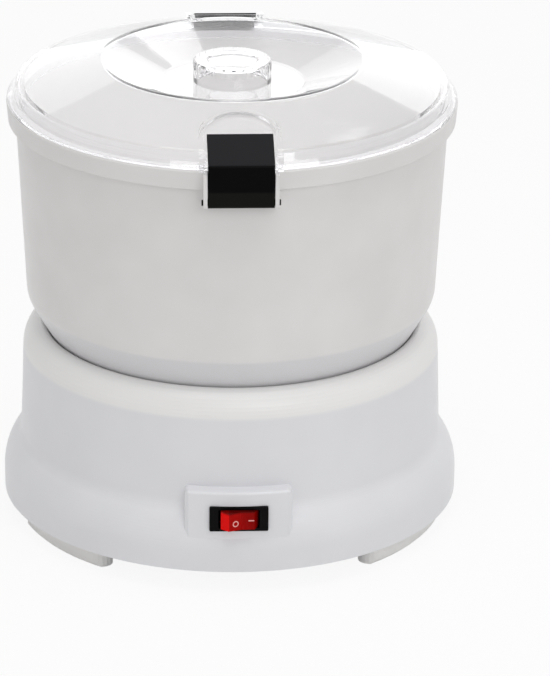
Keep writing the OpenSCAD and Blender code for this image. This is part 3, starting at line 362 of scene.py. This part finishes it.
def clear_styrene():
    """Clear polystyrene of the lid, moulded in a polished tool.

    It has faint flow waves about 18 mm apart and a light haze from wiping. Lamps shine through
    it, and it hardly bends what lies behind, as a thin clear wall does, so the clear coat carries
    its gloss.
    """
    water_clear = linear("#FEFEFF")
    material, tree, shader, where = start(
        "clear polystyrene lid",
        Base_Color=water_clear,
        IOR=1.11,
        Transmission_Weight=0.95,
        Coat_Weight=1.0,
        Coat_Roughness=0.03,
    )
    waves = raised(tree, noise(tree, where, 18.0, detail=1.0), 0.05)
    haze = between(tree, noise(tree, where, 22.0, detail=3.0), 0.02, 0.07)
    join(tree, shader, Roughness=haze, Normal=waves, Coat_Normal=waves)
    path = add(tree, "ShaderNodeLightPath").outputs
    lamp_light = calc(tree, "MAXIMUM", path["Is Shadow Ray"], path["Is Diffuse Ray"])
    passed = add(tree, "ShaderNodeBsdfTransparent", {"Color": water_clear}).outputs["BSDF"]
    surface = add(
        tree, "ShaderNodeMixShader", {0: lamp_light, 1: shader.outputs["BSDF"], 2: passed}
    )
    show(tree, surface.outputs["Shader"])
    return material


def seal_rubber():
    """Black nitrile rubber of the seal and the cord grommet: matt, with a dusty bloom."""
    name = "black nitrile rubber"
    return moulded(name, "#1E1E1E", "#262626", rough=0.62, peel=0.03, mottle=12.0, IOR=1.52)


def natural_nylon():
    """Natural nylon of the gears, fan, bobbin and terminal block: milky ivory, lit from within."""
    return moulded(
        "natural nylon",
        "#E6E2D4",
        "#DDD8C8",
        rough=0.4,
        IOR=1.53,
        Subsurface_Weight=0.15,
        Subsurface_Scale=2.0 * MM,
    )


def metal(name, colour, shade, rough, grain, depth, stretch=(1, 1, 1)):
    """A bare metal. Its grain is grain millimetres wide, drawn out where stretch is under 1."""
    material, tree, shader, where = start(name, Metallic=1.0)
    mapped = add(tree, "ShaderNodeMapping", {"Vector": where, "Scale": stretch}).outputs["Vector"]
    fine = noise(tree, mapped, grain, detail=3.0)
    join(
        tree,
        shader,
        Base_Color=tinted(tree, noise(tree, where, 14.0), colour, shade),
        Roughness=between(tree, fine, rough - 0.08, rough + 0.1),
        Normal=raised(tree, fine, depth),
    )
    return material


def ground_steel():
    """Ground steel of the shafts: bright, with grinding rings about 0.4 mm apart round them."""
    return metal(
        "ground steel shaft",
        "#C9CACB",
        "#BDBEC0",
        rough=0.2,
        grain=0.4,
        depth=0.004,
        stretch=(0.1, 0.1, 1.0),
    )


def plated_screw():
    """Zinc-plated steel of the screws and brackets: pale blue-grey, satin."""
    return metal("zinc plated steel", "#BFC2C6", "#AEB2B8", rough=0.32, grain=1.2, depth=0.006)


def sintered_bronze():
    """Sintered bronze of the bushes: dull gold, with pores about 0.3 mm wide."""
    return metal("sintered bronze", "#A9814A", "#8E6A3A", rough=0.45, grain=0.3, depth=0.03)


def terminal_brass():
    """Tinned brass of the terminals: pale gold, satin."""
    return metal("terminal brass", "#C9A765", "#B8924E", rough=0.3, grain=0.8, depth=0.005)


def galvanised_sheet():
    """Galvanised sheet of the chassis: grey, with crystals 9 mm across that differ in tone."""
    material, tree, shader, where = start("galvanised steel sheet", Metallic=1.0)
    spangle = cells(tree, where, 9.0)[0]
    join(
        tree,
        shader,
        Base_Color=tinted(tree, spangle, "#A9ADB0", "#8F9498"),
        Roughness=between(tree, spangle, 0.3, 0.45),
        Normal=raised(tree, noise(tree, where, 1.5), 0.006),
    )
    return material


def layered(name, colour, shade, rough, pitch, depth, axis, metallic):
    """Layers or turns that lie pitch millimetres apart along one axis."""
    material, tree, shader, where = start(name, Metallic=metallic)
    inputs = {
        "Vector": where,
        "Scale": WAVE_UNIT * per_mm(pitch),
        "Distortion": 0.2,
        "Detail": 0.0,
    }
    wave = add(tree, "ShaderNodeTexWave", inputs, wave_type="BANDS", bands_direction=axis)
    bands = wave.outputs["Fac"]
    join(
        tree,
        shader,
        Base_Color=tinted(tree, bands, shade, colour),
        Roughness=between(tree, noise(tree, where, 2.0), rough - 0.06, rough + 0.08),
        Normal=raised(tree, bands, depth),
    )
    return material


def lamination_steel():
    """Stacked steel laminations, drawn as packs 6.3 mm thick: dark and oily."""
    return layered(
        "steel laminations",
        "#6F7276",
        "#3E4044",
        rough=0.42,
        pitch=6.283,
        depth=0.05,
        axis="Z",
        metallic=1.0,
    )


def enamelled_copper():
    """Enamelled copper wire of the coil, drawn as bundles 3.8 mm wide: warm and glossy."""
    return layered(
        "enamelled copper wire",
        "#B4622F",
        "#6B3214",
        rough=0.28,
        pitch=3.77,
        depth=0.12,
        axis="X",
        metallic=0.85,
    )


def abrasive_grit():
    """Resin-bonded grit of the abrasive sheet.

    Its grains are about 0.9 mm wide, pale grey-brown, and some are smooth enough to sparkle.
    """
    material, tree, shader, where = start("bonded abrasive grit", IOR=1.6)
    tone, from_middle = cells(tree, where, 0.9)
    join(
        tree,
        shader,
        Base_Color=tinted(tree, tone, "#BBB6AE", "#DDD9D2"),
        Roughness=between(tree, tone, 0.75, 0.35),
        Normal=raised(tree, from_middle, -0.45),
    )
    return material


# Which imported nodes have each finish
FINISHES = {
    housing_abs: ["base_housing", "floor_plate"],
    bowl_polypropylene: ["bowl"],
    disc_abs: ["peeling_disc"],
    foot_elastomer: ["foot_front_right", "foot_front_left", "foot_rear_left", "foot_rear_right"],
    latch_abs: ["front_latch", "rear_latch", "front_latch_pin", "rear_latch_pin"],
    switch_nylon: ["switch_body"],
    rocker_polycarbonate: ["switch_rocker"],
    clear_styrene: ["lid"],
    seal_rubber: ["shaft_seal", "cord_gland"],
    natural_nylon: ["cooling_fan", "pinion", "drive_gear", "coil_bobbin", "terminal_block"],
    ground_steel: ["motor_shaft", "output_shaft", "gear_pin", "rotor_core", "hub_insert"],
    plated_screw: [
        "floor_screws",
        "foot_screws",
        "chassis_screws",
        "motor_screws",
        "motor_top_bracket",
        "motor_bottom_bracket",
        "shaft_circlip",
    ],
    galvanised_sheet: ["chassis_plate"],
    lamination_steel: ["stator_stack"],
    enamelled_copper: ["coil_winding"],
    sintered_bronze: ["lower_bush", "upper_bush", "motor_bushes"],
    terminal_brass: ["switch_terminals", "terminal_screws"],
    abrasive_grit: ["abrasive_sheet"],
}


def dress_nodes():
    """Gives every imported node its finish."""
    for finish, names in FINISHES.items():
        material = finish()
        for name in names:
            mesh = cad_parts[name].data
            mesh.materials.clear()
            mesh.materials.append(material)


# ---------------------------------------------------------------- switch marks

# The rocker's pivot along Y, and how far the rocker is tipped about it
PIVOT_Y = -0.124097
PRESSED = math.radians(12)

# The rocker's face: how far its ends and its middle stand from the pivot, and how far apart the
# two are along the rocker
END_HEIGHT, MIDDLE_HEIGHT, FACE_RUN = 6.6 * MM, 5.2 * MM, 7.1 * MM

# The thickness of a printed mark, and how much of it is sunk in the face
MARK_HEIGHT, MARK_SINK = 0.12 * MM, 0.04 * MM

RING_RADIUS, RING_LINE = 1.75 * MM, 0.55 * MM
BAR_LENGTH, BAR_LINE = 3.2 * MM, 0.6 * MM


def deselect():
    """Leaves edit mode and nothing selected."""
    if bpy.context.mode != "OBJECT":
        bpy.ops.object.mode_set(mode="OBJECT")
    bpy.ops.object.select_all(action="DESELECT")


def rocker_face():
    """The matrix from the frame of the rocker's pivot to the row frame.

    In the pivot's frame, x runs along the rocker and z runs out of its face.
    """
    low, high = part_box("switch_rocker")
    pivot = Vector((0, PIVOT_Y, (low.z + high.z) / 2))
    outward = Matrix.Rotation(math.radians(90), 4, "X")
    return Matrix.Translation(pivot) @ Matrix.Rotation(PRESSED, 4, "Z") @ outward


def open_mesh(name):
    """Names the mesh that was just added, and opens it for edits with all of it selected."""
    piece = bpy.context.object
    piece.name = name
    bpy.ops.object.mode_set(mode="EDIT")
    bpy.ops.mesh.select_all(action="SELECT")
    return piece


def thicken(height):
    """Extrudes all of the flat mesh in edit mode by height."""
    bpy.ops.mesh.select_all(action="SELECT")
    bpy.ops.mesh.extrude_region_move(TRANSFORM_OT_translate={"value": (0, 0, height)})
    bpy.ops.mesh.select_all(action="SELECT")
    bpy.ops.mesh.normals_make_consistent(inside=False)


def settle(piece, place, material):
    """Puts a flat mark in its place as a thin solid that rides on the rocker."""
    thicken(MARK_HEIGHT)
    bpy.ops.object.mode_set(mode="OBJECT")
    piece.data.transform(place)
    piece.matrix_world = Matrix.Identity(4)
    piece.data.materials.clear()
    piece.data.materials.append(material)
    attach(piece, "rocker")


def off_mark(place, ink):
    """The ring that marks the off side."""
    deselect()
    bpy.ops.mesh.primitive_circle_add(vertices=40, radius=RING_RADIUS, fill_type="NGON")
    piece = open_mesh("rocker_mark_off")
    bpy.ops.mesh.inset(thickness=RING_LINE)
    bpy.ops.mesh.delete(type="FACE")
    settle(piece, place, ink)


def on_mark(place, ink):
    """The bar that marks the on side, with rounded ends."""
    deselect()
    bpy.ops.mesh.primitive_plane_add(size=1)
    piece = open_mesh("rocker_mark_on")
    bpy.ops.transform.resize(value=(BAR_LENGTH, BAR_LINE, 1))
    bpy.ops.mesh.bevel(offset=BAR_LINE * 0.45, segments=4, affect="VERTICES")
    settle(piece, place, ink)


def switch_marks():
    """A ring on the half that stands out, and a bar on the half that is pressed in."""
    ink = mark_ink()
    face = rocker_face()
    slope = math.atan2(END_HEIGHT - MIDDLE_HEIGHT, FACE_RUN)
    # Which half a mark is on, how far it is from the middle, and how far it is below it
    for side, mark, off, drop in (
        (-1, off_mark, 3.2 * MM, 1.3 * MM),
        (1, on_mark, 5.4 * MM, 0.0),
    ):
        height = MIDDLE_HEIGHT + off * math.tan(slope) - MARK_SINK
        seat = Matrix.Translation((side * off, -drop, height))
        mark(face @ seat @ Matrix.Rotation(-side * slope, 4, "Y"), ink)


# ------------------------------------------------------------- stage and light

# How bright the background is where it is seen, and how much light it throws on the object
SEEN_WHITE, SKY_LIGHT = 0.985, 0.5

# How much of that white the floor shows, so that the rest of it can hold the shadow
FLOOR_WHITE = 0.92
FLOOR_RADIUS = 6.0

# What the lights face: the middle of the object, and the lid
MIDDLE = (0, 0, 0.13)
LID = (0, 0, 0.25)

# How far behind the object its bright wall stands
WALL_Y = 4.0


def is_seen(tree):
    """1 for what the camera, mirrors and glass see, and 0 for light that falls on a surface."""
    path = add(tree, "ShaderNodeLightPath").outputs
    direct = calc(tree, "MAXIMUM", path["Is Camera Ray"], path["Is Glossy Ray"])
    return calc(tree, "MAXIMUM", direct, path["Is Transmission Ray"])


def floor():
    """A plain pale floor that keeps a soft shadow under plain white."""
    deselect()
    bpy.ops.mesh.primitive_circle_add(vertices=96, radius=FLOOR_RADIUS, fill_type="NGON")
    piece = bpy.context.object
    piece.name = "floor"
    material, tree, shader, where = start("pale paper floor", Roughness=0.9)
    join(tree, shader, Base_Color=tinted(tree, noise(tree, where, 60.0), "#F6F6F6", "#F4F4F4"))
    share = calc(tree, "MULTIPLY", is_seen(tree), FLOOR_WHITE)
    glow = {"Color": (1, 1, 1, 1), "Strength": SEEN_WHITE}
    white = add(tree, "ShaderNodeEmission", glow).outputs["Emission"]
    surface = add(
        tree, "ShaderNodeMixShader", {0: share, 1: shader.outputs["BSDF"], 2: white}
    )
    show(tree, surface.outputs["Shader"])
    piece.data.materials.append(material)


def sky():
    """An even white surround: white to the camera, and plain soft light to the object."""
    world = bpy.data.worlds.new("studio")
    bpy.context.scene.world = world
    world.use_nodes = True
    tree = world.node_tree
    tree.nodes.clear()
    inputs = {"Value": is_seen(tree), "To Min": SKY_LIGHT, "To Max": SEEN_WHITE}
    strength = add(tree, "ShaderNodeMapRange", inputs).outputs["Result"]
    light = add(tree, "ShaderNodeBackground", {"Color": (1, 1, 1, 1), "Strength": strength})
    add(tree, "ShaderNodeOutputWorld", {"Surface": light.outputs["Background"]})


def softbox(name, place, aim, width, height, power, lean=0.0):
    """A rectangular soft light at place that faces aim, turned about that line by lean degrees."""
    lamp = bpy.data.lights.new(name, "AREA")
    lamp.shape = "RECTANGLE"
    lamp.size, lamp.size_y = width, height
    lamp.energy = power
    holder = bpy.data.objects.new(name, lamp)
    bpy.context.scene.collection.objects.link(holder)
    holder.location = place
    facing = (Vector(aim) - Vector(place)).to_track_quat("-Z", "Y").to_matrix()
    holder.rotation_euler = (facing @ Matrix.Rotation(math.radians(lean), 3, "Z")).to_euler()


def rear_wall(name, side, middle, width, height, power):
    """An upright soft light behind the object, at that X and that height, that faces the front."""
    softbox(name, (side, WALL_Y, middle), (side, 0, middle), width, height, power)


def seen_from_lid(azimuth, elevation, distance):
    """The place that lies that way from the lid, with azimuth in degrees from +Y towards +X."""
    side, rise = math.radians(azimuth), math.radians(elevation)
    level = distance * math.cos(rise)
    away = (level * math.sin(side), level * math.cos(side), distance * math.sin(rise))
    return Vector(LID) + Vector(away)


def lights():
    """A box overhead, a fill box high at the front, and the shapes that the lid mirrors.

    Those are a box high behind the object and the two halves of a bright wall below it.
    """
    softbox("top box", (0.1, -0.3, 1.7), MIDDLE, width=1.2, height=0.9, power=11)
    softbox("front box", (0.5, -1.7, 1.2), MIDDLE, width=0.9, height=0.7, power=6)
    high = seen_from_lid(azimuth=24.3, elevation=47.5, distance=4)
    softbox("rear high box", high, LID, width=0.56, height=1.41, power=4.5, lean=-17)
    rear_wall("rear wall right", side=0.95, middle=1.515, width=1.8, height=2.37, power=12.5)
    rear_wall("rear wall left", side=-0.8, middle=1.59, width=1.7, height=2.52, power=5.6)


def camera():
    """The camera: a long lens, a little to the left of the switch and well above it."""
    around = math.radians(2.3)
    distance, height = 2.23816, 0.99874
    pitch, yaw, roll = math.radians(21.932), math.radians(0.637), math.radians(0.602)
    # The focal length and the image's longer side in pixels, and that side in millimetres
    focal, long_side, sensor = 4296.8, 676, 36.0
    data = bpy.data.cameras.new("camera")
    data.sensor_width = sensor
    data.lens = focal * sensor / long_side
    data.clip_start, data.clip_end = 0.1, 50
    eye = bpy.data.objects.new("camera", data)
    bpy.context.scene.collection.objects.link(eye)
    eye.location = (-distance * math.sin(around), -distance * math.cos(around), height)
    heading = Matrix.Rotation(-around - yaw, 3, "Z")
    dip = Matrix.Rotation(math.radians(90) - pitch, 3, "X")
    eye.rotation_euler = (heading @ dip @ Matrix.Rotation(roll, 3, "Z")).to_euler()
    bpy.context.scene.camera = eye


dress_nodes()
switch_marks()
floor()
sky()
lights()
camera()
bpy.context.scene.view_settings.view_transform = "Standard"
